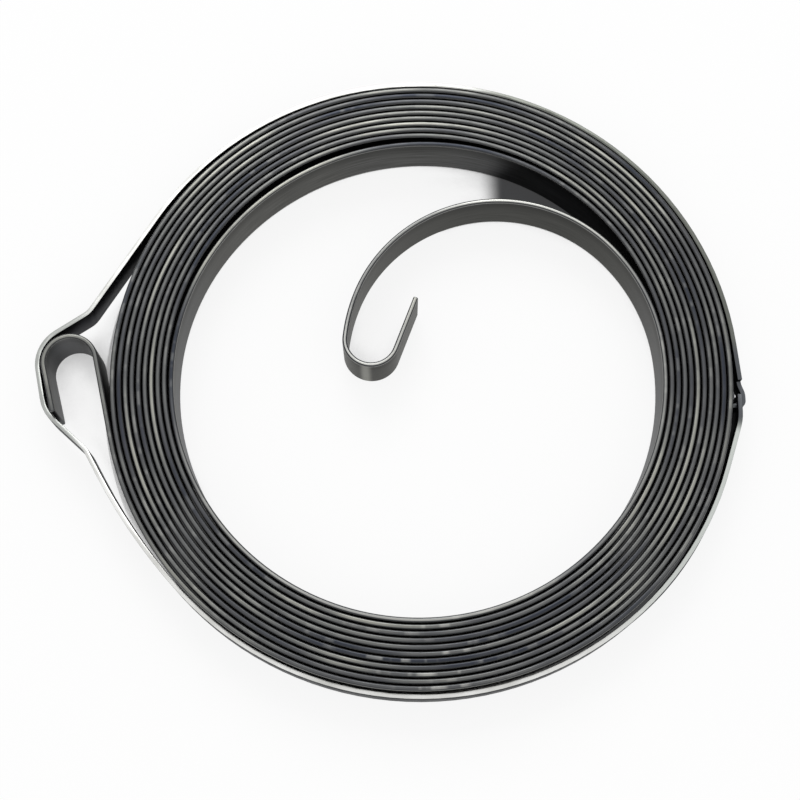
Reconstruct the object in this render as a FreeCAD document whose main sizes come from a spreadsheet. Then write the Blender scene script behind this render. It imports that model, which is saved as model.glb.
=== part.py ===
import FreeCAD, Part

import math
import os

import Sketcher
from FreeCAD import Vector

# Recoil starter spring. A flat steel strip is wound on edge-up turns into a flat coil that
# lies on the XY plane, with its axis on Z. Seen from above it runs inward counter-clockwise.
# The outer end is folded back into a hook on the left. The inner end leaves the last turn as
# an arm and is folded back into a second hook near the middle. A thin separate band is
# closed round the coil and keeps it wound.

os.makedirs("parts", exist_ok=True)
doc = FreeCAD.newDocument("recoil_starter_spring")
sizes = doc.addObject("Spreadsheet::Sheet", "Sizes")

# Lengths are in millimetres and angles in degrees. Radii and lengths of the strip are taken
# on the middle of its thickness.
SIZE_ROWS = [
    ("strip_thickness", 0.5, "thickness of the spring strip"),
    ("strip_width", 5.3, "width of the spring strip, which stands along Z"),
    ("tip_round", 0.2, "rounding of the two strip ends, seen from above"),
    ("coil_radius", 30.786, "radius of the outermost turn"),
    ("turn_pitch", 0.64, "distance between neighbouring turns"),
    ("half_turns", 18, "whole half turns between the first and the loosened one"),
    ("slack_angle", 25.0, "angle from +X where the half turns meet and the loose one begins"),
    ("slack_gap", 0.4, "how far the loosened half turn stands in from the even winding"),
    ("hook_leg", 4.71, "free leg of the outer hook"),
    ("hook_radius", 2.58, "bend radius of the outer hook"),
    ("hook_turn", 181.6, "bend angle of the outer hook"),
    ("hook_shank", 8.85, "straight from the outer hook to the first turn"),
    ("hook_angle", 12.8, "angle from -X where the straight meets the first turn"),
    ("arm_angle", 7.8, "angle from +X where the last turn tightens into the arm"),
    ("arm_first_radius", 18.53, "arm, first bend"),
    ("arm_first_turn", 33.3, "arm, angle of the first bend"),
    ("arm_main_radius", 15.37, "arm, long bend across the middle"),
    ("arm_main_turn", 118.4, "arm, angle of the long bend"),
    ("arm_last_radius", 18.06, "arm, easing before the inner hook"),
    ("arm_last_turn", 14.8, "arm, angle of the easing"),
    ("inner_radius", 2.62, "bend radius of the inner hook"),
    ("inner_turn", 165.0, "bend angle of the inner hook"),
    ("inner_leg", 5.71, "free leg of the inner hook"),
    ("band_thickness", 0.45, "thickness of the band"),
    ("band_width", 3.5, "width of the band along Z"),
    ("band_gap", 0.104, "gap between the outermost turn and the band"),
    ("upper_angle", 5.8, "angle from +X where the upper end of the band goes straight"),
    ("upper_length", 3.74, "straight of the upper end, at the full width of the band"),
    ("lower_angle", 17.5, "angle below +X where the lower end of the band goes straight"),
    ("lower_radius", 4.775, "inner radius of the bend that sets the lower end along Y"),
    ("lower_standoff", 0.1, "how far the lower end stands out past the band on the coil"),
    ("lower_drop", 2.0, "distance of the lower end's edge below the X axis"),
    ("shoulder_radius", 2.535, "first bend of the bulge, inner face"),
    ("shoulder_turn", 24.3, "angle of that bend"),
    ("side_length", 3.31, "side of the bulge beside the hook"),
    ("crown_gap", 0.695, "how much larger the bend round the hook is than the hook itself"),
    ("crown_ahead", 0.404, "how far the centre of that bend is from the hook's, along +X"),
    ("crown_above", 0.108, "how far the centre of that bend is from the hook's, along +Y"),
    ("chin_inset", 1.67, "how much shorter the straight beside the hook's leg is than the leg"),
    ("chin_lean", 2.6, "angle between that straight and the leg"),
    ("chin_radius", 3.8, "second bend round the hook, inner face"),
    ("return_radius", 2.955, "bend of the return, inner face"),
    ("return_turn", 18.6, "angle of that bend"),
    ("ease_length", 2.4, "straight after that bend"),
    ("landing_turn", 13.98, "angle of the long bend that lays the band back on the coil"),
    ("landing_radius", 58.075, "radius of that long bend, inner face"),
    ("tongue_width", 2.0, "width of the tongue along Z"),
    ("tongue_gap", 0.05, "gap between the tongue and the outside of the lower end"),
    ("tongue_step_turn", 15.0, "slope of the step that takes the tongue over the lower end"),
    ("tongue_step_radius", 1.5, "inner radius of the bends of that step"),
    ("tongue_step_drop", 0.1, "distance of the start of that step below the lower end's edge"),
    ("tongue_bend_radius", 0.3, "inner radius of the bend into the slot"),
    ("tongue_reach", 0.6, "length of the folded tip"),
    ("slot_inset", 1.0, "distance of the folded tip from the lower end's edge"),
    ("slot_clearance", 0.1, "clearance between the tongue and the slot"),
]

sizes.set("A1", "name")
sizes.set("B1", "value")
sizes.set("C1", "what it is")
for row, (name, value, meaning) in enumerate(SIZE_ROWS, start=2):
    sizes.set(f"A{row}", name)
    sizes.set(f"B{row}", str(value))
    sizes.set(f"C{row}", meaning)
    sizes.setAlias(f"B{row}", name)
doc.recompute()

SIZE_NAMES = {name for name, value, meaning in SIZE_ROWS}


def named(text):
    """Put the sheet's name before every size in an expression."""
    return " ".join("Sizes." + word if word in SIZE_NAMES else word for word in text.split())


def value_of(text):
    """The present value of an expression."""
    result = sizes.evalExpression(named(text))
    return float(getattr(result, "Value", result))


def bind(sketch, constraint, name, text):
    """Add a constraint, name it and tie its size to the sheet."""
    number = sketch.addConstraint(constraint)
    sketch.renameConstraint(number, name)
    sketch.setExpression("Constraints." + name, named(text))


def pin(sketch, piece, corner, direction, name, text):
    """Hold one coordinate of a point at a place given by the sheet."""
    measure = Sketcher.Constraint("Distance" + direction, -1, 1, piece, corner, value_of(text))
    bind(sketch, measure, name, text)


class Path:
    """A run of straights and bends in a sketch, each one tangent to the one before."""

    def __init__(self, sketch, start, heading):
        self.sketch = sketch
        self.point = start
        self.heading = math.radians(heading)
        self.last = None
        self.last_end = None

    def join(self, piece, near_end, far_end):
        if self.last is not None:
            tangent = Sketcher.Constraint("Tangent", self.last, self.last_end, piece, near_end)
            self.sketch.addConstraint(tangent)
        self.last = piece
        self.last_end = far_end

    def straight(self, reach):
        """A straight without a set length: it takes the one that closes the path."""
        step = Vector(math.cos(self.heading), math.sin(self.heading), 0) * reach
        segment = Part.LineSegment(self.point, self.point + step)
        piece = self.sketch.addGeometry(segment, False)
        self.point = self.point + step
        self.join(piece, 1, 2)
        return piece

    def line(self, name, length):
        """A straight whose length comes from the sheet."""
        reach = value_of(length)
        piece = self.straight(reach)
        bind(self.sketch, Sketcher.Constraint("Distance", piece, reach), name, length)
        return piece

    def bend(self, name, side, radius, turn, closing=False):
        """A bend to the left or right from the sheet. A closing one finds its own angle."""
        size = value_of(radius)
        angle = math.radians(value_of(turn))
        sign = 1 if side == "left" else -1
        across = Vector(-math.sin(self.heading), math.cos(self.heading), 0) * (sign * size)
        centre = self.point + across
        begin = math.atan2(-across.y, -across.x)
        finish = begin + sign * angle
        circle = Part.Circle(centre, Vector(0, 0, 1), size)
        arc = Part.ArcOfCircle(circle, min(begin, finish), max(begin, finish))
        piece = self.sketch.addGeometry(arc, False)
        self.point = centre + Vector(math.cos(finish), math.sin(finish), 0) * size
        self.heading = self.heading + sign * angle
        if side == "left":
            self.join(piece, 1, 2)
        else:
            self.join(piece, 2, 1)
        bind(self.sketch, Sketcher.Constraint("Radius", piece, size), name + "_radius", radius)
        if not closing:
            bind(self.sketch, Sketcher.Constraint("Angle", piece, angle), name + "_turn", turn)
        return piece


def ribbon(name, path, thickness, width, lift):
    """Flat stock bent along a path. The path is its left face, the one towards the axis."""
    path.setExpression("Placement.Base.z", named(lift))
    outline = doc.addObject("Part::Offset2D", name + "_outline")
    outline.Source = path
    outline.Mode = 0
    outline.Join = 0
    outline.Fill = True
    outline.Value = value_of(thickness)
    outline.setExpression("Value", named(thickness))
    solid = doc.addObject("Part::Extrusion", name)
    solid.Base = outline
    solid.DirMode = "Custom"
    solid.Dir = Vector(0, 0, 1)
    solid.Solid = True
    solid.setExpression("LengthFwd", named(width))
    doc.recompute()
    return solid


# The spring strip. Its path starts at the tip of the outer hook. The half turns meet on a
# line through the axis, and their centres change sides of the axis by a quarter of the
# pitch, so each half turn is half a pitch smaller than the one before.
HALF_STRIP = "strip_thickness / 2"
OUTER_START = "hook_angle + hook_turn - 90"
CENTRE_X = "0 - turn_pitch / 4 * cos( slack_angle * 1deg )"
CENTRE_Y = "0 - turn_pitch / 4 * sin( slack_angle * 1deg )"

# The centre of the hook's bend, seen from the centre of the first turn, and the hook's tip.
HOOK_X = (
    f"{CENTRE_X} - ( coil_radius + hook_radius ) * cos( hook_angle * 1deg )"
    " - hook_shank * sin( hook_angle * 1deg )"
)
HOOK_Y = (
    f"{CENTRE_Y} - ( coil_radius + hook_radius ) * sin( hook_angle * 1deg )"
    " + hook_shank * cos( hook_angle * 1deg )"
)
LEG_ANGLE = "( hook_angle + hook_turn - 90 ) * 1deg"
HOOK_OUTSIDE = f"( hook_radius + {HALF_STRIP} )"
TIP_X = f"{HOOK_X} - {HOOK_OUTSIDE} * sin( {LEG_ANGLE} ) - hook_leg * cos( {LEG_ANGLE} )"
TIP_Y = f"{HOOK_Y} + {HOOK_OUTSIDE} * cos( {LEG_ANGLE} ) - hook_leg * sin( {LEG_ANGLE} )"
outer_tip = (value_of(TIP_X), value_of(TIP_Y), 0)
spring_path = doc.addObject("Sketcher::SketchObject", "spring_path")
strip = Path(spring_path, Vector(*outer_tip), value_of(OUTER_START))
first_leg = strip.line("hook_leg", "hook_leg")
strip.bend("hook", "right", f"hook_radius + {HALF_STRIP}", "hook_turn")
strip.line("hook_shank", "hook_shank")
first_sweep = "180 + slack_angle - hook_angle"
first_turn = strip.bend("turn_0", "left", f"coil_radius - {HALF_STRIP}", first_sweep)
half_turns = int(round(value_of("half_turns")))
for number in range(1, half_turns + 1):
    turn_radius = f"coil_radius - {HALF_STRIP} - {number} * turn_pitch / 2"
    strip.bend(f"turn_{number}", "left", turn_radius, "180")

# The loosened half turn: three equal bends, tighter, wider and tighter again, that stand in
# from the even winding and come back to it.
loose_radius = f"coil_radius - {HALF_STRIP} - {half_turns + 1} * turn_pitch / 2"
SLACK_CHANGE = "slack_gap / ( 2 * cos( 30deg ) - 1 )"
strip.bend("loose_in", "left", f"{loose_radius} - {SLACK_CHANGE}", "60")
strip.bend("loose_middle", "left", f"{loose_radius} + {SLACK_CHANGE}", "60")
strip.bend("loose_out", "left", f"{loose_radius} - {SLACK_CHANGE}", "60")
last_radius = f"coil_radius - {HALF_STRIP} - {half_turns + 2} * turn_pitch / 2"
strip.bend("turn_last", "left", last_radius, "180 - slack_angle + arm_angle")

# The arm across the middle and the inner hook.
strip.bend("arm_first", "left", f"arm_first_radius - {HALF_STRIP}", "arm_first_turn")
strip.bend("arm_main", "left", f"arm_main_radius - {HALF_STRIP}", "arm_main_turn")
strip.bend("arm_last", "left", f"arm_last_radius - {HALF_STRIP}", "arm_last_turn")
strip.bend("inner", "left", f"inner_radius - {HALF_STRIP}", "inner_turn")
strip.line("inner_leg", "inner_leg")

# The path is held by the direction of its first straight and the centre of its first turn.
leg_angle = math.radians(value_of(OUTER_START))
bind(spring_path, Sketcher.Constraint("Angle", first_leg, leg_angle), "leg_angle", OUTER_START)
pin(spring_path, first_turn, 3, "X", "first_centre_x", CENTRE_X)
pin(spring_path, first_turn, 3, "Y", "first_centre_y", CENTRE_Y)
doc.recompute()
strip_solid = ribbon("spring_strip", spring_path, "strip_thickness", "strip_width", "0")

# Rounded ends: the upright corner edges at the two tips of the strip.
tips = [spring_path.getPoint(0, 1), spring_path.getPoint(spring_path.GeometryCount - 1, 2)]
tip_reach = value_of("strip_thickness") * 1.1
tip_edges = []
for number, edge in enumerate(strip_solid.Shape.Edges, start=1):
    low = edge.Vertexes[0].Point
    high = edge.Vertexes[-1].Point
    foot = Vector(low.x, low.y, 0)
    is_upright = (Vector(high.x, high.y, 0) - foot).Length < 1e-6
    if is_upright and min(foot.distanceToPoint(tip) for tip in tips) < tip_reach:
        tip_edges.append(number)
round_size = value_of("tip_round")
spring = doc.addObject("Part::Fillet", "starter_spring")
spring.Base = strip_solid
spring.Edges = [(number, round_size, round_size) for number in tip_edges]
doc.recompute()

# The band. It starts at the cut end of its upper straight, follows the coil, bulges round
# the outer hook and comes back to its lower end. The bend round the hook is placed from the
# hook's own sizes. The straights and bends marked as closing take what closes the path, and
# what is written here for them is only where they start.
BAND_RADIUS = f"( coil_radius + turn_pitch / 4 + {HALF_STRIP} + band_gap )"
UPPER_X = f"{BAND_RADIUS} * cos( upper_angle * 1deg ) + upper_length * sin( upper_angle * 1deg )"
UPPER_Y = f"{BAND_RADIUS} * sin( upper_angle * 1deg ) - upper_length * cos( upper_angle * 1deg )"
LOWER_FACE = f"{BAND_RADIUS} + lower_standoff"
band_path = doc.addObject("Sketcher::SketchObject", "band_path")
upper_end = Vector(value_of(UPPER_X), value_of(UPPER_Y), 0)
band = Path(band_path, upper_end, value_of("90 + upper_angle"))
upper_line = band.line("upper_length", "upper_length")
upper_arc = band.bend("upper_coil", "left", BAND_RADIUS, "147.87 - upper_angle", closing=True)
band.straight(11.6)
band.bend("shoulder", "right", "shoulder_radius", "shoulder_turn")
band.line("side_length", "side_length")
CROWN_RADIUS = f"hook_radius + {HALF_STRIP} + crown_gap"
crown = band.bend("crown", "left", CROWN_RADIUS, "68.2", closing=True)
chin_line = band.line("chin_length", "hook_leg - chin_inset")
band.bend("chin", "left", "chin_radius", "35.9", closing=True)
band.straight(4.66)
band.bend("return", "right", "return_radius", "return_turn")
band.line("ease_length", "ease_length")
band.bend("landing", "left", "landing_radius", "landing_turn")
lower_arc = band.bend("lower_coil", "left", BAND_RADIUS, "137 - lower_angle", closing=True)
lower_line = band.straight(4.42)
band.bend("lower_bend", "left", "lower_radius", "lower_angle")
lower_end = band.straight(1.9)
band_path.addConstraint(Sketcher.Constraint("Coincident", upper_arc, 3, -1, 1))
band_path.addConstraint(Sketcher.Constraint("Coincident", lower_arc, 3, -1, 1))
DIRECTIONS = [
    (upper_line, "upper_slope", "90 + upper_angle"),
    (chin_line, "chin_slope", "90 + hook_angle + hook_turn - chin_lean"),
    (lower_line, "lower_slope", "90 - lower_angle"),
]
for piece, name, text in DIRECTIONS:
    slope = Sketcher.Constraint("Angle", piece, math.radians(value_of(text)))
    bind(band_path, slope, name, text)
pin(band_path, crown, 3, "X", "crown_x", f"{HOOK_X} + crown_ahead")
pin(band_path, crown, 3, "Y", "crown_y", f"{HOOK_Y} + crown_above")
pin(band_path, lower_end, 2, "X", "lower_face", LOWER_FACE)
pin(band_path, lower_end, 2, "Y", "lower_edge", "0 - lower_drop")
doc.recompute()
BAND_LIFT = "( strip_width - band_width ) / 2"
band_strip = ribbon("band_strip", band_path, "band_thickness", "band_width", BAND_LIFT)

# The tongue, a narrower run of the same stock: its folded tip goes through the slot, it
# lies on the outside of the lower end and steps in to the upper end, where it runs on in
# the upper straight up to the coil.
TONGUE_FACE = f"{LOWER_FACE} + band_thickness + tongue_gap"
TIP_FACE = "0 - lower_drop - slot_inset + band_thickness / 2"
tongue_path = doc.addObject("Sketcher::SketchObject", "tongue_path")
tip_x = value_of(f"{TONGUE_FACE} - tongue_bend_radius - tongue_reach")
tongue = Path(tongue_path, Vector(tip_x, value_of(TIP_FACE), 0), 0)
folded_tip = tongue.line("tongue_reach", "tongue_reach")
tongue.bend("fold", "left", "tongue_bend_radius", "90")
outside = tongue.straight(0.4)
tongue.bend("step_out", "left", "tongue_step_radius", "tongue_step_turn + upper_angle")
tongue.straight(0.55)
tongue.bend("step_in", "right", "tongue_step_radius + band_thickness", "tongue_step_turn")
root = tongue.straight(2.6)
tongue_path.addConstraint(Sketcher.Constraint("Horizontal", folded_tip))
pin(tongue_path, folded_tip, 1, "Y", "tip_face", TIP_FACE)
pin(tongue_path, outside, 2, "X", "tongue_face", TONGUE_FACE)
pin(tongue_path, outside, 2, "Y", "step_start", "0 - lower_drop - tongue_step_drop")
pin(tongue_path, root, 2, "X", "root_x", f"{BAND_RADIUS} * cos( upper_angle * 1deg )")
pin(tongue_path, root, 2, "Y", "root_y", f"{BAND_RADIUS} * sin( upper_angle * 1deg )")
doc.recompute()
TONGUE_LIFT = "( strip_width - tongue_width ) / 2"
tongue_strip = ribbon("tongue_strip", tongue_path, "band_thickness", "tongue_width", TONGUE_LIFT)

# The slot in the lower end, open to the start of the fold so that the bend clears it.
slot = doc.addObject("Part::Box", "slot")
SLOT_SIZES = [
    ("Length", "3 * band_thickness"),
    ("Width", "band_thickness + tongue_bend_radius + slot_clearance"),
    ("Height", "tongue_width + 2 * slot_clearance"),
    ("Placement.Base.x", f"{LOWER_FACE} - band_thickness"),
    ("Placement.Base.y", "0 - lower_drop - slot_inset - band_thickness / 2 - slot_clearance"),
    ("Placement.Base.z", "( strip_width - tongue_width ) / 2 - slot_clearance"),
]
for target, text in SLOT_SIZES:
    slot.setExpression(target, named(text))
slotted = doc.addObject("Part::Cut", "slotted_band")
slotted.Base = band_strip
slotted.Tool = slot
retaining_band = doc.addObject("Part::Fuse", "retaining_band")
retaining_band.Base = slotted
retaining_band.Tool = tongue_strip
retaining_band.Refine = True
doc.recompute()

PIECES = [(spring, "starter_spring"), (retaining_band, "retaining_band")]
for piece, label in PIECES:
    piece.Label = label

for item in doc.Objects:
    if "Invalid" in item.State or "Error" in item.State:
        raise RuntimeError(f"{item.Name} did not build: {item.State}")
for piece, label in PIECES:
    shape = piece.Shape
    if shape.isNull() or not shape.isValid() or len(shape.Solids) != 1:
        raise RuntimeError(f"{label} is not one sound solid")
for piece, label in PIECES:
    piece.Shape.exportStep(f"parts/{label}.step")
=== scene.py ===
# %% [markdown]
# # A recoil starter spring
#
# The object is a flat coil of dark spring-steel strip, about as wide as a jar lid, with a
# folded hook at each end of the strip and a thin bright band closed round it. The solids
# already exist: they are loaded first, and everything below dresses them. The frame is in
# metres, with +Z up and the coil's axis on Z.

# %% Load the solids
import bpy
import bmesh
import math
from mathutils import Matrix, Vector


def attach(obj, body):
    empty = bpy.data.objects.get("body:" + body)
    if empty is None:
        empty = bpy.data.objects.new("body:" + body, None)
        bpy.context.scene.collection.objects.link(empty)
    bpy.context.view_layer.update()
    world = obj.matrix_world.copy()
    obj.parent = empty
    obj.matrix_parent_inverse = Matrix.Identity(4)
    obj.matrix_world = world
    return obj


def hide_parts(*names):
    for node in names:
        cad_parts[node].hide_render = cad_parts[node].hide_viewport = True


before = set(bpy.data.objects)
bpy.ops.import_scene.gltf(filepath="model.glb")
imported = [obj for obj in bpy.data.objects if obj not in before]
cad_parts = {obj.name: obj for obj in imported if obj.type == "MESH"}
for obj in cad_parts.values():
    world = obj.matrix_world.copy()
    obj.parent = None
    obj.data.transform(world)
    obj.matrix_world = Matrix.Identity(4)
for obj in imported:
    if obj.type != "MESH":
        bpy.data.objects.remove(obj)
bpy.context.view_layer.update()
print("nodes", sorted(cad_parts))

# %% [markdown]
# ## Lengths and colours
#
# Lengths are written in millimetres, as on a drawing, and one value turns them to metres.
# Only the floor and the lamp, which are far larger than the part, are given in metres.
# Colours are written as they look on a screen, in sRGB hex. A shader works with linear
# light, so one function turns the one into the other.

# %% Millimetres and colours
MM = 0.001


def linear(hex_colour):
    """An sRGB hex colour as linear red, green, blue and alpha."""
    channels = []
    for start in (1, 3, 5):
        value = int(hex_colour[start:start + 2], 16) / 255
        low = value / 12.92
        high = ((value + 0.055) / 1.055) ** 2.4
        channels.append(low if value <= 0.04045 else high)
    return (*channels, 1.0)


print("mid grey", [round(channel, 3) for channel in linear("#808080")[:3]])

# %% [markdown]
# ## The camera
#
# The photograph looks down on the coil from the front, 74.5 degrees above the floor, with a
# 72 mm lens on a 36 mm sensor. A camera looks along its own -Z, so with no rotation it looks
# straight down. Tilting it by the missing 15.5 degrees about X raises its gaze towards +Y.

# %% Place the camera
VIEW_HEIGHT = 74.5
LENS = 72
SENSOR = 36
NEAREST_SEEN = 10 * MM
CAMERA_PLACE = (-1.94 * MM, -44.83 * MM, 156.56 * MM)
camera_data = bpy.data.cameras.new("camera")
camera_data.lens = LENS
camera_data.sensor_width = SENSOR
camera_data.clip_start = NEAREST_SEEN
camera = bpy.data.objects.new("camera", camera_data)
camera.location = CAMERA_PLACE
camera.rotation_euler = (math.radians(90 - VIEW_HEIGHT), 0, 0)
bpy.context.scene.collection.objects.link(camera)
bpy.context.scene.camera = camera
print("camera", tuple(round(value, 4) for value in camera.location))

# %% [markdown]
# ## The path of the strip
#
# A coiler bends the strip along plain arcs. Each half turn has its own radius, half a pitch
# smaller than the one before, and the pieces follow one another without a kink. So the path
# is a short list: a straight has a length, a bend has a side, a radius and an angle, all on
# the middle of the strip's thickness.
#
# The outer hook is a straight leg, a bend of half a turn and a straight shank, and the coil
# leaves the shank at a small angle. One half turn near the inner end has sprung in a little:
# it is made of three bends of 60 degrees, tighter, wider and tighter, which come back to the
# even winding. Then the strip leaves the coil as the arm, in three bends, and ends in the
# inner hook.

# %% List the straights and bends
STRIP_THICKNESS = 0.5
STRIP_WIDTH = 5.3
COIL_RADIUS = 30.786
TURN_PITCH = 0.64
HALF_TURNS = 18
SLACK_ANGLE = 25.0
SLACK_CHANGE = 0.4 / (2 * math.cos(math.radians(30)) - 1)
HOOK_ANGLE = 12.8
HOOK_TURN = 181.6
HOOK_RADIUS = 2.58
HOOK_SHANK = 8.85
HOOK_LEG = 4.71
ARM_LEAVES = 7.8
ARM_RADIUS = 15.37
INNER_HOOK_RADIUS = 2.62
INNER_HOOK_LEG = 5.71


def half_turn_radius(number):
    """The radius of a half turn, in mm. Number 0 is the outermost."""
    return COIL_RADIUS - number * TURN_PITCH / 2


loose = half_turn_radius(HALF_TURNS + 1)
strip_path = [
    ("straight", HOOK_LEG),
    ("right", HOOK_RADIUS, HOOK_TURN),
    ("straight", HOOK_SHANK),
    ("left", COIL_RADIUS, 180 + SLACK_ANGLE - HOOK_ANGLE),
]
for number in range(1, HALF_TURNS + 1):
    strip_path.append(("left", half_turn_radius(number), 180))
strip_path += [
    ("left", loose - SLACK_CHANGE, 60),
    ("left", loose + SLACK_CHANGE, 60),
    ("left", loose - SLACK_CHANGE, 60),
    ("left", half_turn_radius(HALF_TURNS + 2), 180 - SLACK_ANGLE + ARM_LEAVES),
    ("left", 18.53, 33.3),
    ("left", ARM_RADIUS, 118.4),
    ("left", 18.06, 14.8),
    ("left", INNER_HOOK_RADIUS, 165.0),
    ("straight", INNER_HOOK_LEG),
]
print("pieces of the path", len(strip_path))

# %% [markdown]
# ## Where the strip starts
#
# The first turn's centre lies a quarter of the pitch beside the coil's axis. From there the
# hook's centre and its tip follow, each a radius or a length further on.

# %% Find the tip of the outer hook


def toward(angle):
    """The unit vector at an angle in degrees from +X."""
    turned = math.radians(angle)
    return Vector((math.cos(turned), math.sin(turned), 0))


leave_angle = 180 + HOOK_ANGLE
leg_angle = leave_angle - 90 + HOOK_TURN
first_centre = -toward(SLACK_ANGLE) * TURN_PITCH / 4
hook_centre = (
    first_centre
    + toward(leave_angle) * (COIL_RADIUS + HOOK_RADIUS)
    + toward(leave_angle - 90) * HOOK_SHANK
)
outer_tip = hook_centre + toward(leg_angle - 90) * HOOK_RADIUS + toward(leg_angle) * HOOK_LEG
print("outer tip, mm", tuple(round(value, 2) for value in outer_tip))

# %% [markdown]
# ## The section of the strip
#
# A strip could be drawn as a curve with a bevel, but its section would then twist or thin
# where the bends are tight. Here the section itself is bent. It is a rectangle that stands
# on edge, with well rounded corners, as edge-rolled strip has: four vertices, beveled.
#
# The finish of rolled strip follows its length through every bend, which no fixed direction
# in space does. So each vertex will also keep its distance from the outer tip, as an
# attribute that the materials read. A bmesh gets such a layer before its first vertex.

# %% Draw the section
EDGE_ROUND = 0.18
ALONG = "along_strip"


def strip_section(bm, middle, heading):
    """A standing rectangle with rounded corners across the path, as a ring of edges."""
    across = toward(heading - 90) * STRIP_THICKNESS / 2
    up = Vector((0, 0, STRIP_WIDTH))
    corners = [middle - across, middle + across, middle + across + up, middle - across + up]
    verts = [bm.verts.new(corner * MM) for corner in corners]
    edges = [bm.edges.new((verts[k], verts[(k + 1) % 4])) for k in range(4)]
    bmesh.ops.bevel(
        bm, geom=verts + edges, offset=EDGE_ROUND * MM, segments=4, profile=0.5,
        affect="VERTICES", material=-1,
    )
    return list(bm.edges)


bm = bmesh.new()
bm.verts.layers.float.new(ALONG)
section = strip_section(bm, outer_tip, leg_angle - 180)
print("edges of the section", len(section))

# %% [markdown]
# ## Bending it along the path
#
# The section is extruded along each straight and spun about the centre of each bend. The
# faces that spin leaves are even quads, in rows along the strip. A wide bend takes a step
# for every two degrees, and the tight ones of the hooks take wider steps, because their
# radius is small.

# %% Carry the section along straights and bends
BEND_STEP = 2.0
TIGHT_BEND_STEP = 6.0
TIGHT_RADIUS = 10.0


def edges_of(geometry):
    """The edges among what an operator returns."""
    return [part for part in geometry if isinstance(part, bmesh.types.BMEdge)]


def verts_of(geometry):
    """The vertices among what an operator returns."""
    return [part for part in geometry if isinstance(part, bmesh.types.BMVert)]


def swept_degrees(point, centre, start, side):
    """How far round the centre a point lies from the start of a bend.

    Rounding can bring a point at the very start out just under 360, so that counts as 0.
    """
    first = start - centre
    there = point - centre
    turn = math.degrees(math.atan2(there.y, there.x) - math.atan2(first.y, first.x))
    swept = (side * turn) % 360
    return 0 if swept > 359 else swept


def bend_strip(bm, ring, path, middle, heading):
    """Carry the section along the path. Each vertex gets its distance from the start.

    Returns where the path ends, its length and the centres of its bends, in millimetres.
    """
    layer = bm.verts.layers.float[ALONG]
    along = 0.0
    centres = []
    for kind, size, *turns in path:
        if kind == "straight":
            step = toward(heading) * size
            made = bmesh.ops.extrude_edge_only(bm, edges=ring)["geom"]
            moved = set(verts_of(made))
            bmesh.ops.translate(bm, verts=list(moved), vec=step * MM)
            ring = [edge for edge in edges_of(made) if moved.issuperset(edge.verts)]
            middle = middle + step
            along = along + size
            for vert in moved:
                vert[layer] = along
            continue
        side = 1 if kind == "left" else -1
        turn = turns[0]
        centre = middle + toward(heading + 90 * side) * size
        centres.append(centre)
        steps = math.ceil(turn / (BEND_STEP if size > TIGHT_RADIUS else TIGHT_BEND_STEP))
        before = set(bm.verts)
        made = bmesh.ops.spin(
            bm, geom=ring + list({vert for edge in ring for vert in edge.verts}),
            cent=centre * MM, axis=(0, 0, side), angle=math.radians(turn), steps=steps,
            use_merge=False, use_duplicate=False,
        )["geom_last"]
        for vert in set(bm.verts) - before:
            swept = swept_degrees(vert.co / MM, centre, middle, side)
            vert[layer] = along + math.radians(swept) * size
        ring = edges_of(made)
        along = along + math.radians(turn) * size
        heading = heading + side * turn
        middle = centre + toward(heading - 90 * side) * size
    return middle, along, centres


inner_tip, strip_length, bend_centres = bend_strip(
    bm, section, strip_path, outer_tip, leg_angle - 180
)
arm_centre = bend_centres[-3]
print("length, mm", round(strip_length, 1), "tip", [round(value, 2) for value in inner_tip])
print("the arm's long bend is about, mm", [round(value, 2) for value in arm_centre])

# %% [markdown]
# The two open ends are closed with one polygon each. Those two are the only faces with more
# than four corners, so they are easy to find again, and their rims are rounded off a little,
# as sheared ends are once they are deburred.

# %% Close the ends
CAP_ROUND = 0.1
open_edges = [edge for edge in bm.edges if edge.is_boundary]
bmesh.ops.holes_fill(bm, edges=open_edges, sides=0)
bmesh.ops.recalc_face_normals(bm, faces=bm.faces)
caps = [face for face in bm.faces if len(face.verts) > 4]
cap_edges = list({edge for face in caps for edge in face.edges})
print("caps", len(caps), "open edges before", len(open_edges))
bmesh.ops.bevel(
    bm, geom=cap_edges, offset=CAP_ROUND * MM, segments=2, profile=0.5, affect="EDGES",
    material=-1, clamp_overlap=True,
)
print("strip faces", len(bm.faces))

# %% [markdown]
# The rolled faces of the strip and its edges look different. Every polygon of the rounded
# corners leans up or down a little, so that is what gets the second material slot. Shading is
# smooth, and a modifier weights each normal by the size of its faces, so the flat faces look
# flat right up to the rounding.

# %% Finish the strip's mesh
ROUNDED_FROM = 0.1
for face in bm.faces:
    face.smooth = True
    face.material_index = 1 if abs(face.normal.z) > ROUNDED_FROM else 0
strip_mesh = bpy.data.meshes.new("spring_strip")
bm.to_mesh(strip_mesh)
bm.free()
spring = bpy.data.objects.new("spring_strip", strip_mesh)
bpy.context.scene.collection.objects.link(spring)
even = spring.modifiers.new("even_shading", "WEIGHTED_NORMAL")
even.keep_sharp = True
even.weight = 100
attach(spring, "root")
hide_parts("starter_spring")
print("polygons of the strip", len(strip_mesh.polygons))

# %% [markdown]
# ## Starting a material
#
# A material is a small graph. One function adds a node to it: the settings are the node's own
# options, and each input is a number, a hex colour or the output that feeds it. A colour ramp
# also takes its stops, each a position and a colour. A metal starts from the default shader
# and keeps its IOR. The first one is for the faces of the strip.

# %% Start the steel of the faces


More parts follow.
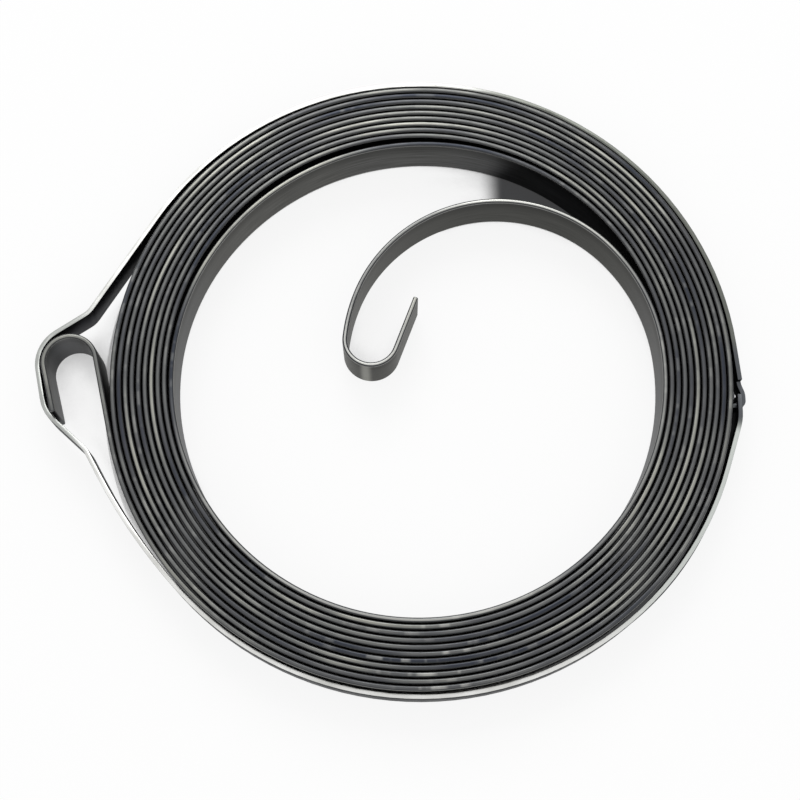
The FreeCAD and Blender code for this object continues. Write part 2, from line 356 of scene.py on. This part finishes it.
def add_node(tree, kind, inputs=None, stops=(), **settings):
    """Add a node with its settings, inputs and ramp stops, and return it."""
    node = tree.nodes.new(kind)
    for name, value in settings.items():
        setattr(node, name, value)
    for name, value in (inputs or {}).items():
        if isinstance(value, bpy.types.NodeSocket):
            tree.links.new(value, node.inputs[name])
        elif isinstance(value, str):
            node.inputs[name].default_value = linear(value)
        else:
            node.inputs[name].default_value = value
    for number, (position, colour) in enumerate(stops):
        elements = node.color_ramp.elements
        element = elements[number] if number < 2 else elements.new(position)
        element.position = position
        element.color = linear(colour)
    return node


def new_metal(name):
    """A metal with the default shader. Returns the material, its graph and the shader."""
    material = bpy.data.materials.new(name)
    material.use_nodes = True
    shader = material.node_tree.nodes["Principled BSDF"]
    shader.inputs["Metallic"].default_value = 1.0
    return material, material.node_tree, shader


tempered_face, tree, shader = new_metal("tempered_spring_steel_face")
print("a metal starts with", [node.name for node in tree.nodes])

# %% [markdown]
# ## A pattern along the strip
#
# Everything that happened to this steel happened along its length: it was rolled, slit,
# tempered and wound. So its patterns are noise on the distance along the strip, which the
# mesh carries, and, where they are streaks, on the height as well. A streak is a fraction of
# a millimetre high and some millimetres long.

# %% Draw noise along the strip


def strip_pattern(tree, along, length, detail=2.0):
    """Noise that changes along the strip only, over a length in mm. Returns its strength."""
    distance = add_node(tree, "ShaderNodeMath", {0: along, 1: length}, operation="DIVIDE")
    return add_node(
        tree, "ShaderNodeTexNoise",
        {"W": distance.outputs[0], "Scale": 1.0, "Detail": detail, "Roughness": 0.5},
        noise_dimensions="1D",
    ).outputs["Fac"]


def strip_places(tree):
    """The distance along the strip in mm, and the object coordinates in metres."""
    along = add_node(
        tree, "ShaderNodeAttribute", attribute_type="GEOMETRY", attribute_name=ALONG
    )
    place = add_node(tree, "ShaderNodeTexCoord")
    return along.outputs["Fac"], place.outputs["Object"]


print("patterns follow the attribute", ALONG)

# %% [markdown]
# ## Spring steel, its faces
#
# The strip is hardened and tempered carbon steel. Cold rolling leaves fine lengthwise
# streaks on its two faces. Tempering leaves a thin grey oxide, so they are far darker than
# bare steel, with a faint blue here and a faint brown there. The arm and the outer hook are
# a little darker still. Real rolling streaks are too fine to show at this size, so they are
# drawn as coarse as they need to be.

# %% Colour the faces
STREAK_HEIGHT = 0.25 * MM
STREAK_LENGTH = 5.0
STREAK_DETAIL = 4.0
TINT_LENGTH = 45.0
along, place = strip_places(tree)
height = add_node(tree, "ShaderNodeSeparateXYZ", {"Vector": place}).outputs["Z"]
on_face = add_node(tree, "ShaderNodeCombineXYZ", {"X": along, "Y": height}).outputs["Vector"]
in_streaks = add_node(
    tree, "ShaderNodeVectorMath", {0: on_face, 1: (STREAK_LENGTH, STREAK_HEIGHT, 1)},
    operation="DIVIDE",
).outputs["Vector"]
streak = add_node(
    tree, "ShaderNodeTexNoise",
    {"Vector": in_streaks, "Scale": 1.0, "Detail": STREAK_DETAIL, "Roughness": 0.5},
    noise_dimensions="2D",
).outputs["Fac"]
oxide = add_node(
    tree, "ShaderNodeValToRGB", {"Fac": strip_pattern(tree, along, TINT_LENGTH)},
    [(0.35, "#53545a"), (0.65, "#5a5a58")],
).outputs["Color"]
print("streaks, mm", STREAK_LENGTH, "by", round(STREAK_HEIGHT / MM, 2))

# %% [markdown]
# Each darker or brighter stretch is a zone: a value that rises smoothly from 0 to 1 between
# two places. The outer hook and the arm are darker, and each shades off into the coil. The
# crown of the outer hook and the front of the inner one get a painted highlight: both are
# measured in millimetres from the middle of the highlight, so they shade off to both sides.
# The faces are also painted darker toward the top, a painted shade.

# %% Find the zones of the faces
HOOK_LENGTH = 24.0
HOOK_SHADES_OFF = 4.0
ARM_LENGTH = 62.0
ARM_SHADES_OFF = 12.0
HOOK_CROWN = 8.8
INNER_HOOK_FRONT = 9.4
TOP_SHADE_FROM = 3.0 * MM
TOP_SHADE_TO = 4.9 * MM
highlight_place = {}
for name, highlight_middle in (
    ("crown", HOOK_CROWN), ("inner_hook", strip_length - INNER_HOOK_FRONT)
):
    away = add_node(
        tree, "ShaderNodeMath", {0: along, 1: highlight_middle}, operation="SUBTRACT"
    ).outputs[0]
    highlight_place[name] = add_node(
        tree, "ShaderNodeMath", {0: away}, operation="ABSOLUTE"
    ).outputs[0]
arm_start = strip_length - ARM_LENGTH
face_zones = {}
for name, value, start, end in (
    ("hook", along, HOOK_LENGTH, HOOK_LENGTH - HOOK_SHADES_OFF),
    ("arm", along, arm_start, arm_start + ARM_SHADES_OFF),
    ("painted_top_shade", height, TOP_SHADE_FROM, TOP_SHADE_TO),
    ("crown", highlight_place["crown"], 2.2, 0.2),
    ("inner_hook", highlight_place["inner_hook"], 0.7, 0.1),
):
    face_zones[name] = add_node(
        tree, "ShaderNodeMapRange", {"Value": value, "From Min": start, "From Max": end},
        interpolation_type="SMOOTHSTEP",
    ).outputs["Result"]
print("zones of the faces", sorted(face_zones))

# %% [markdown]
# The colour is built up in layers: oxide first, then the darker stretches, then the streaks
# and a painted shade toward the top as multiplied shades, and the painted highlights on the
# two hooks last. The streaks also change the gloss a little, and give a relief of some
# hundredths of a millimetre. Oxide dulls the sheen at flat angles, so the specular tint is
# not quite white.

# %% Finish the faces
CROWN_HIGHLIGHT_SHARE = 0.25
INNER_HOOK_HIGHLIGHT_SHARE = 0.6
STREAK_RELIEF = 0.02 * MM
colour = oxide
for zone, zone_colour in (("hook", "#424449"), ("arm", "#484846")):
    colour = add_node(
        tree, "ShaderNodeMix", {0: face_zones[zone], 6: colour, 7: zone_colour},
        data_type="RGBA",
    ).outputs[2]
for value, shade_stops in (
    (streak, [(0.3, "#a0a0a0"), (0.7, "#ffffff")]),
    # The darkening toward the top is painted shade.
    (face_zones["painted_top_shade"], [(0.0, "#ffffff"), (1.0, "#b8b8b8")]),
):
    shade = add_node(tree, "ShaderNodeValToRGB", {"Fac": value}, shade_stops)
    colour = add_node(
        tree, "ShaderNodeMix", {0: 1.0, 6: colour, 7: shade.outputs["Color"]},
        data_type="RGBA", blend_type="MULTIPLY",
    ).outputs[2]
# Painted highlights on the crown of the outer hook and the front of the inner hook.
for zone, share, highlight_colour in (
    ("crown", CROWN_HIGHLIGHT_SHARE, "#8c8c8e"), ("inner_hook", INNER_HOOK_HIGHLIGHT_SHARE, "#a8a8a2")
):
    highlight_share = add_node(
        tree, "ShaderNodeMath", {0: face_zones[zone], 1: share}, operation="MULTIPLY"
    )
    colour = add_node(
        tree, "ShaderNodeMix", {0: highlight_share.outputs[0], 6: colour, 7: highlight_colour},
        data_type="RGBA",
    ).outputs[2]
gloss = add_node(
    tree, "ShaderNodeMapRange",
    {"Value": streak, "From Min": 0.3, "From Max": 0.7, "To Min": 0.36, "To Max": 0.46},
)
relief = add_node(
    tree, "ShaderNodeBump", {"Height": streak, "Strength": 0.3, "Distance": STREAK_RELIEF}
)
tree.links.new(colour, shader.inputs["Base Color"])
tree.links.new(gloss.outputs["Result"], shader.inputs["Roughness"])
tree.links.new(relief.outputs["Normal"], shader.inputs["Normal"])
shader.inputs["Specular Tint"].default_value = linear("#e4e4e2")
spring.data.materials.append(tempered_face)
print("face material has", len(tree.nodes), "nodes")

# %% [markdown]
# ## Spring steel, its edges
#
# The strip was slit from a wide coil, its edges were rolled round, and handling has rubbed
# their crests back to grey metal, more on one stretch than on the next. The corners below
# the crest keep their oxide. The surface normal tells the two apart: it points up on the
# crest and sideways on the corner, so the square of its height is a scale from one to the
# other, which is the same for the upper and the lower edge. So the crest is lighter where it
# faces up: partly rubbed metal, partly a painted highlight. Where the corner turns down into
# the face it is painted lighter again, painted light that lifts the dark gaps between turns.

# %% Colour the edges
RUB_LENGTH = 24.0
RUB_DETAIL = 4.0
edge_wear_and_highlights, tree, shader = new_metal("edge_rolled_spring_steel")
along, place = strip_places(tree)
normal = add_node(tree, "ShaderNodeNewGeometry").outputs["Normal"]
upward = add_node(tree, "ShaderNodeSeparateXYZ", {"Vector": normal}).outputs["Z"]
level = add_node(
    tree, "ShaderNodeMath", {0: upward, 1: upward}, operation="MULTIPLY"
).outputs[0]
# The lighter stop near the face is painted light in the gaps between turns; the darker one is
# oxide.
corner = add_node(
    tree, "ShaderNodeValToRGB", {"Fac": level}, [(0.1, "#868684"), (0.5, "#3d3e40")]
).outputs["Color"]
# The crest's colour: rubbed metal, partly a painted highlight.
crest_wear_and_highlight = add_node(
    tree, "ShaderNodeValToRGB", {"Fac": strip_pattern(tree, along, RUB_LENGTH, RUB_DETAIL)},
    [(0.3, "#373a41"), (0.43, "#505153"), (0.57, "#6a6b69"), (0.7, "#91918a")],
).outputs["Color"]
print("a rubbed stretch is about, mm", RUB_LENGTH)

# %% [markdown]
# The last turn and the arm are loose, and a thin line of their crest is painted bright: a
# painted highlight. How bright it is changes along the last 140 mm: most where the arm
# crosses the middle and at the front of the inner hook, less on the turn before them.

# %% Paint a highlight along the loose end
LOOSE_END = 140.0
loose_place = add_node(
    tree, "ShaderNodeMapRange",
    {"Value": along, "From Min": strip_length - LOOSE_END, "From Max": strip_length},
)
# A painted highlight on the crest line of the loose end.
loose_end_highlight = add_node(
    tree, "ShaderNodeValToRGB", {"Fac": loose_place.outputs["Result"]},
    [
        (0.0, "#000000"), (0.16, "#a8a8a8"), (0.3, "#a8a8a8"), (0.4, "#707070"),
        (0.63, "#787878"), (0.67, "#b4b4b4"), (0.75, "#d8d8d8"), (0.79, "#787878"),
        (0.87, "#787878"), (0.93, "#d8d8d8"), (1.0, "#787878"),
    ],
).outputs["Color"]
print("the loose end starts at, mm", round(strip_length - LOOSE_END, 1))

# %% [markdown]
# At the front the crests also have short bright spots, a few millimetres long: painted
# glints. Two patterns make them: a fine one draws them, and a coarser one decides which
# stretches have any. They fade out away from the front of the coil.

# %% Scatter painted glints
GLINT_LENGTH = 2.2
GLINT_PATCH_LENGTH = 15.0
FRONT = (0.5 * MM, -28.5 * MM, 0)
FRONT_NEAR = 2.5 * MM
FRONT_FAR = 9 * MM
EVERYWHERE_GLINT_SHARE = 0.12
FRONT_GLINT_SHARE = 0.6
# Noise for the painted glints; the same noise also varies the roughness.
glints = strip_pattern(tree, along, GLINT_LENGTH)
glint_patches = strip_pattern(tree, along, GLINT_PATCH_LENGTH, detail=0.0)
from_front = add_node(
    tree, "ShaderNodeVectorMath", {0: place, 1: FRONT}, operation="DISTANCE"
).outputs["Value"]
edge_zones = {}
for name, value, start, end in (
    ("front", from_front, FRONT_FAR, FRONT_NEAR),
    ("crest", level, 0.72, 1.0),
    ("crest_line", level, 0.93, 1.0),
):
    edge_zones[name] = add_node(
        tree, "ShaderNodeMapRange", {"Value": value, "From Min": start, "From Max": end},
        interpolation_type="SMOOTHSTEP",
    ).outputs["Result"]
glint_share = add_node(
    tree, "ShaderNodeMath", {0: edge_zones["front"], 1: FRONT_GLINT_SHARE, 2: EVERYWHERE_GLINT_SHARE},
    operation="MULTIPLY_ADD",
).outputs[0]
for value, glint_stops in (
    (glints, [(0.5, "#000000"), (0.62, "#ffffff")]),
    (glint_patches, [(0.5, "#000000"), (0.6, "#ffffff")]),
):
    mask = add_node(tree, "ShaderNodeValToRGB", {"Fac": value}, glint_stops)
    glint_share = add_node(
        tree, "ShaderNodeMath", {0: glint_share, 1: mask.outputs["Color"]},
        operation="MULTIPLY",
    ).outputs[0]
loose_highlight_share = add_node(
    tree, "ShaderNodeMath", {0: edge_zones["crest_line"], 1: loose_end_highlight},
    operation="MULTIPLY",
).outputs[0]
print("bare spots are about, mm", GLINT_LENGTH)

# %% [markdown]
# Now the layers: painted glints on the rubbed metal, that metal on the oxide of the corners,
# and the painted highlight of the loose end on top. Rubbed steel is smoother than oxide, so
# the roughness is lower than on the faces.

# %% Finish the edges
# Painted glints, in a pale grey.
crest_wear_and_highlight = add_node(
    tree, "ShaderNodeMix", {0: glint_share, 6: crest_wear_and_highlight, 7: "#c6c6c0"}, data_type="RGBA"
).outputs[2]
colour = corner
# The crest, partly a painted highlight, then the loose end's painted highlight.
for share, layer in ((edge_zones["crest"], crest_wear_and_highlight), (loose_highlight_share, "#deded8")):
    colour = add_node(
        tree, "ShaderNodeMix", {0: share, 6: colour, 7: layer}, data_type="RGBA"
    ).outputs[2]
gloss = add_node(
    tree, "ShaderNodeMapRange",
    {"Value": glints, "From Min": 0.3, "From Max": 0.7, "To Min": 0.3, "To Max": 0.42},
)
tree.links.new(colour, shader.inputs["Base Color"])
tree.links.new(gloss.outputs["Result"], shader.inputs["Roughness"])
spring.data.materials.append(edge_wear_and_highlights)
print("materials of the strip", [slot.name for slot in spring.data.materials])

# %% [markdown]
# ## Band steel
#
# The band is plain rolled strip, thinner and narrower than the spring's. It was packed with
# the spring, not tempered with it, and is dark from oil and mill scale. Its slit edges are
# bare. It isn't made by bending a section here, so its patterns are noise on the object
# coordinates, stretched in plan and thin in height.

# %% Colour the band's faces
BAND_STREAK = (5 * MM, 5 * MM, 0.25 * MM)
BURR_GRAIN = (4 * MM, 4 * MM, 4 * MM)


def band_pattern(tree, place, grain):
    """Noise with a grain of this length, width and height. Returns its strength."""
    stretch = add_node(
        tree, "ShaderNodeMapping",
        {"Vector": place, "Scale": tuple(1 / length for length in grain)},
    )
    return add_node(
        tree, "ShaderNodeTexNoise",
        {"Vector": stretch.outputs["Vector"], "Scale": 1.0, "Detail": 3.0, "Roughness": 0.5},
    ).outputs["Fac"]


band_face, tree, shader = new_metal("rolled_band_steel_face")
place = add_node(tree, "ShaderNodeTexCoord").outputs["Object"]
streak = band_pattern(tree, place, BAND_STREAK)
scale_colour = add_node(
    tree, "ShaderNodeValToRGB", {"Fac": streak}, [(0.3, "#2a2a2d"), (0.7, "#3e3f42")]
)
gloss = add_node(
    tree, "ShaderNodeMapRange",
    {"Value": streak, "From Min": 0.3, "From Max": 0.7, "To Min": 0.36, "To Max": 0.46},
)
relief = add_node(
    tree, "ShaderNodeBump", {"Height": streak, "Strength": 0.25, "Distance": STREAK_RELIEF}
)
tree.links.new(scale_colour.outputs["Color"], shader.inputs["Base Color"])
tree.links.new(gloss.outputs["Result"], shader.inputs["Roughness"])
tree.links.new(relief.outputs["Normal"], shader.inputs["Normal"])
shader.inputs["Specular Tint"].default_value = linear("#c8c8c8")
print("band streaks, mm", [round(length / MM, 2) for length in BAND_STREAK])

# %% [markdown]
# A slit edge is bare and bright. How bright it shows is painted by place: brightest at the
# front and along the upper left, a painted highlight, and greyer on the bulge, on the right
# and, darkest, from the back to the closure, painted shade. Each of these is a zone between
# two places on X or Y, in millimetres, and where two of them are multiplied, both have to hold.

# %% Colour the band's edges
band_edge, tree, shader = new_metal("slit_band_steel_edge")
place = add_node(tree, "ShaderNodeTexCoord").outputs["Object"]
axes = add_node(tree, "ShaderNodeSeparateXYZ", {"Vector": place}).outputs
burr = band_pattern(tree, place, BURR_GRAIN)
colour = add_node(
    tree, "ShaderNodeValToRGB", {"Fac": burr}, [(0.3, "#c8c8c4"), (0.7, "#ececea")]
).outputs["Color"]
band_zones = {}
for name, value, start, end in (
    ("bulge", axes["X"], -31.5, -34.5),
    ("right", axes["X"], 14, 27),
    ("back", axes["X"], -2, 10),
    ("behind_closure", axes["Y"], -6, -4),
    ("closure", axes["X"], 30.6, 31.4),
    ("beside_closure", axes["Y"], 4, 2),
):
    band_zones[name] = add_node(
        tree, "ShaderNodeMapRange",
        {"Value": value, "From Min": start * MM, "From Max": end * MM},
        interpolation_type="SMOOTHSTEP",
    ).outputs["Result"]
shares = {}
for name, first, second in (
    ("painted_shade_back", band_zones["back"], band_zones["behind_closure"]),
    ("folded", band_zones["closure"], band_zones["beside_closure"]),
):
    shares[name] = add_node(
        tree, "ShaderNodeMath", {0: first, 1: second}, operation="MULTIPLY"
    ).outputs[0]
closure_painted_shade = add_node(
    tree, "ShaderNodeMath", {0: shares["painted_shade_back"], 1: shares["folded"]}, operation="MULTIPLY"
).outputs[0]
# Painted shade: greyer on the bulge, the right and the back, and darkest at the closure.
for share, zone_colour in (
    (band_zones["bulge"], "#a8aaa7"), (band_zones["right"], "#c0c4c0"),
    (shares["painted_shade_back"], "#636560"), (closure_painted_shade, "#55575a"),
):
    colour = add_node(
        tree, "ShaderNodeMix", {0: share, 6: colour, 7: zone_colour}, data_type="RGBA"
    ).outputs[2]
gloss = add_node(
    tree, "ShaderNodeMapRange",
    {"Value": burr, "From Min": 0.3, "From Max": 0.7, "To Min": 0.3, "To Max": 0.4},
)
tree.links.new(colour, shader.inputs["Base Color"])
tree.links.new(gloss.outputs["Result"], shader.inputs["Roughness"])
print("zones of the band's edge", sorted(band_zones))

# %% [markdown]
# ## Dressing the band
#
# The solid of the band already has the true shape, with its tongue and slot, so nothing is
# modelled again. A copy of its mesh is merged, its flat runs of triangles are joined, and the
# faces that look straight up or down get the bright slot.

# %% Dress the band
MERGE_DISTANCE = 0.0005 * MM
FLAT_WITHIN = math.radians(0.5)
LEVEL_FROM = 0.9
band_node = bpy.data.objects["retaining_band"]
band_mesh = band_node.data.copy()
band_mesh.name = "band_strip"
band = bpy.data.objects.new("band_strip", band_mesh)
bpy.context.scene.collection.objects.link(band)
band_mesh.materials.clear()
band_mesh.materials.append(band_face)
band_mesh.materials.append(band_edge)
bm = bmesh.new()
bm.from_mesh(band_mesh)
bmesh.ops.remove_doubles(bm, verts=bm.verts, dist=MERGE_DISTANCE)
bmesh.ops.dissolve_limit(
    bm, angle_limit=FLAT_WITHIN, verts=bm.verts, edges=bm.edges, delimit=set()
)
for face in bm.faces:
    face.smooth = True
    face.material_index = 1 if abs(face.normal.z) > LEVEL_FROM else 0
print("band faces", len(bm.faces), "open", sum(edge.is_boundary for edge in bm.edges))
bm.to_mesh(band_mesh)
bm.free()

# %% [markdown]
# A narrow bevel takes the hardness off the slit edges. It isn't clamped, because the shortest
# edges, at the tongue's fold, would hold it down to nothing all round.

# %% Soften the band's edges
EDGE_SOFTNESS = 0.05 * MM
BEVEL_FROM = math.radians(40)
soft_edge = band.modifiers.new("soft_edge", "BEVEL")
soft_edge.width = EDGE_SOFTNESS
soft_edge.use_clamp_overlap = False
soft_edge.segments = 2
soft_edge.limit_method = "ANGLE"
soft_edge.angle_limit = BEVEL_FROM
soft_edge.harden_normals = True
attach(band, "root")
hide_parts("retaining_band")
print("bevel of the band, mm", round(EDGE_SOFTNESS / MM, 2))

# %% [markdown]
# ## The floor
#
# The floor is plain and pale. What looks at it straight, or in a metal surface, sees it
# mostly as white, and the rest of what it sees is the lit floor, which keeps the shadow.
# Light Path tells such a ray from the light that falls on things.
#
# Under the turns, and in the corner behind the arm, the paper is in deep shade. It is given
# by place, as rings and distances on the floor: inside the band, past the arm's own radius
# from the arm's centre, and right of the middle.

# %% Tell what sees the white


def seen_directly(tree):
    """1 for camera, glossy and transmission rays, and 0 for the light that falls on things."""
    ray = add_node(tree, "ShaderNodeLightPath").outputs
    seen = ray["Is Camera Ray"]
    for kind in ("Is Glossy Ray", "Is Transmission Ray"):
        seen = add_node(
            tree, "ShaderNodeMath", {0: seen, 1: ray[kind]}, operation="MAXIMUM"
        ).outputs[0]
    return seen


floor_material = bpy.data.materials.new("white_paper")
floor_material.use_nodes = True
tree = floor_material.node_tree
tree.nodes.clear()
place = add_node(tree, "ShaderNodeTexCoord").outputs["Object"]
axes = add_node(tree, "ShaderNodeSeparateXYZ", {"Vector": place}).outputs
radius = add_node(tree, "ShaderNodeVectorMath", {0: place}, operation="LENGTH").outputs["Value"]
from_arm = add_node(
    tree, "ShaderNodeVectorMath", {0: place, 1: arm_centre * MM}, operation="DISTANCE"
).outputs["Value"]
print("floor material starts with", len(tree.nodes), "nodes")

# %% [markdown]
# Ambient occlusion measures how much of the sky a point of the floor sees. Where that is
# little, the white is left out, so the foot of a wall is shaded. Two walls stand in the ring
# of the coil, so more shade is let in there than beside the single wall of the hooks.

# %% Find the zones of the floor
SHADE_REACH = 8 * MM
SHADE_SAMPLES = 16
CORNER_FROM = 6.2 * MM
CORNER_TO = 9.0 * MM
CLOSURE_FROM = 10 * MM
CLOSURE_TO = 30 * MM
sky_seen = add_node(
    tree, "ShaderNodeAmbientOcclusion", {"Distance": SHADE_REACH}, samples=SHADE_SAMPLES
).outputs["AO"]
floor_zones = {}
for name, value, start, end in (
    ("beside_hooks", sky_seen, 0.1, 0.32),
    ("beside_coil", sky_seen, 0.3, 0.44),
    ("toward_closure", axes["X"], CLOSURE_FROM, CLOSURE_TO),
    ("right_of_middle", axes["X"], CORNER_FROM, CORNER_TO),
):
    floor_zones[name] = add_node(
        tree, "ShaderNodeMapRange", {"Value": value, "From Min": start, "From Max": end},
        interpolation_type="SMOOTHSTEP",
    ).outputs["Result"]
print("zones of the floor", sorted(floor_zones))

# %% [markdown]
# The rings are comparisons, each 1 where it holds. Toward the closure the band stands out
# further, so the dark ring under the turns grows with it.

# %% Compare the places on the floor
COIL_INSIDE = 17 * MM
COIL_OUTSIDE = 32 * MM
TURNS_INSIDE = 25.1 * MM
TURNS_OUTSIDE = 31.3 * MM
CLOSURE_BULGE = 0.8 * MM
CORNER_FRONT = 10.0 * MM
ARM_OUTSIDE = (ARM_RADIUS + STRIP_THICKNESS / 2) * MM
hidden_rim = add_node(
    tree, "ShaderNodeMath",
    {0: floor_zones["toward_closure"], 1: CLOSURE_BULGE, 2: TURNS_OUTSIDE},
    operation="MULTIPLY_ADD",
).outputs[0]
holds = {}
for name, value, limit, comparison in (
    ("past_inside", radius, COIL_INSIDE, "GREATER_THAN"),
    ("within_outside", radius, COIL_OUTSIDE, "LESS_THAN"),
    ("within_turns", radius, TURNS_INSIDE, "LESS_THAN"),
    ("past_rim", radius, hidden_rim, "GREATER_THAN"),
    ("past_arm", from_arm, ARM_OUTSIDE, "GREATER_THAN"),
    ("in_front", axes["Y"], CORNER_FRONT, "LESS_THAN"),
):
    holds[name] = add_node(
        tree, "ShaderNodeMath", {0: value, 1: limit}, operation=comparison
    ).outputs[0]
in_ring = add_node(
    tree, "ShaderNodeMath", {0: holds["past_inside"], 1: holds["within_outside"]},
    operation="MULTIPLY",
).outputs[0]
lit = add_node(
    tree, "ShaderNodeMix",
    {0: in_ring, 2: floor_zones["beside_hooks"], 3: floor_zones["beside_coil"]},
    data_type="FLOAT",
).outputs[0]
print("comparisons", sorted(holds))

# %% [markdown]
# What is left is to put them together. The corner behind the arm is where three of them hold
# at once and the place isn't in front. The paper is pale where it is clear of the turns and
# out of that corner, and it is plain and pale seen from below. A little stray light stays in
# the deepest shade, as it does in the gaps between real turns.

# %% Shade the paper
WHITE_SHARE = 0.86
STRAY_LIGHT = 0.045
behind_arm = holds["within_turns"]
for value in (holds["past_arm"], floor_zones["right_of_middle"]):
    behind_arm = add_node(
        tree, "ShaderNodeMath", {0: behind_arm, 1: value}, operation="MULTIPLY"
    ).outputs[0]
pale = add_node(
    tree, "ShaderNodeMath", {0: 1.0, 1: behind_arm}, operation="SUBTRACT"
).outputs[0]
clear_of_turns = add_node(
    tree, "ShaderNodeMath", {0: holds["within_turns"], 1: holds["past_rim"]},
    operation="MAXIMUM",
).outputs[0]
seen_from_below = add_node(tree, "ShaderNodeNewGeometry").outputs["Backfacing"]
for value, way in (
    (holds["in_front"], "MAXIMUM"), (clear_of_turns, "MULTIPLY"), (seen_from_below, "MAXIMUM")
):
    pale = add_node(tree, "ShaderNodeMath", {0: pale, 1: value}, operation=way).outputs[0]
white_share = pale
for value, way in (
    (lit, "MULTIPLY"), (STRAY_LIGHT, "MAXIMUM"), (seen_directly(tree), "MULTIPLY"),
    (WHITE_SHARE, "MULTIPLY"),
):
    white_share = add_node(
        tree, "ShaderNodeMath", {0: white_share, 1: value}, operation=way
    ).outputs[0]
paper_colour = add_node(
    tree, "ShaderNodeMix", {0: pale, 6: "#404145", 7: "#f2f2f2"}, data_type="RGBA"
).outputs[2]
paper = add_node(tree, "ShaderNodeBsdfDiffuse", {"Color": paper_colour})
glow = add_node(tree, "ShaderNodeEmission", {"Color": "#ffffff", "Strength": 1.0})
seen_paper = add_node(
    tree, "ShaderNodeMixShader", {0: white_share, 1: paper.outputs[0], 2: glow.outputs[0]}
)
add_node(tree, "ShaderNodeOutputMaterial", {"Surface": seen_paper.outputs[0]})
print("floor material has", len(tree.nodes), "nodes")

# %% [markdown]
# The floor itself is one large square, a tenth of a millimetre below the part. It is stage,
# not a piece of the part.

# %% Lay the floor
FLOOR_HALF_SIDE = 1.5
FLOOR_DROP = 0.1 * MM
bm = bmesh.new()
bmesh.ops.create_grid(bm, x_segments=1, y_segments=1, size=FLOOR_HALF_SIDE)
floor_mesh = bpy.data.meshes.new("floor")
bm.to_mesh(floor_mesh)
bm.free()
floor_mesh.materials.append(floor_material)
floor = bpy.data.objects.new("floor", floor_mesh)
floor.location.z = -FLOOR_DROP
bpy.context.scene.collection.objects.link(floor)
print("floor side, m", 2 * FLOOR_HALF_SIDE)

# %% [markdown]
# ## Sky and lamp
#
# A white sky gives soft light from all sides. What falls on the part is a little less than
# what is seen, so that colours render about as they are written. One large soft panel behind
# the part gives the long reflections on the crests at the top of the coil.

# %% Set the sky and the panel
SKY_LIGHT = 0.8
PANEL_PLACE = (-0.06, 0.5, 0.5)
PANEL_SIZE = 0.4
PANEL_POWER = 2.0
world = bpy.data.worlds.new("studio")
bpy.context.scene.world = world
world.use_nodes = True
tree = world.node_tree
tree.nodes.clear()
sky_strength = add_node(
    tree, "ShaderNodeMapRange", {"Value": seen_directly(tree), "To Min": SKY_LIGHT, "To Max": 1.0}
)
sky = add_node(
    tree, "ShaderNodeBackground",
    {"Color": "#ffffff", "Strength": sky_strength.outputs["Result"]},
)
add_node(tree, "ShaderNodeOutputWorld", {"Surface": sky.outputs[0]})
panel_light = bpy.data.lights.new("panel_back", "AREA")
panel_light.shape = "SQUARE"
panel_light.size = PANEL_SIZE
panel_light.energy = PANEL_POWER
panel = bpy.data.objects.new("panel_back", panel_light)
panel.location = PANEL_PLACE
panel.rotation_euler = (-Vector(PANEL_PLACE)).to_track_quat("-Z", "Y").to_euler()
bpy.context.scene.collection.objects.link(panel)
bpy.context.scene.view_settings.view_transform = "Standard"
print("lamps", len(bpy.data.lights), "view", bpy.context.scene.view_settings.view_transform)
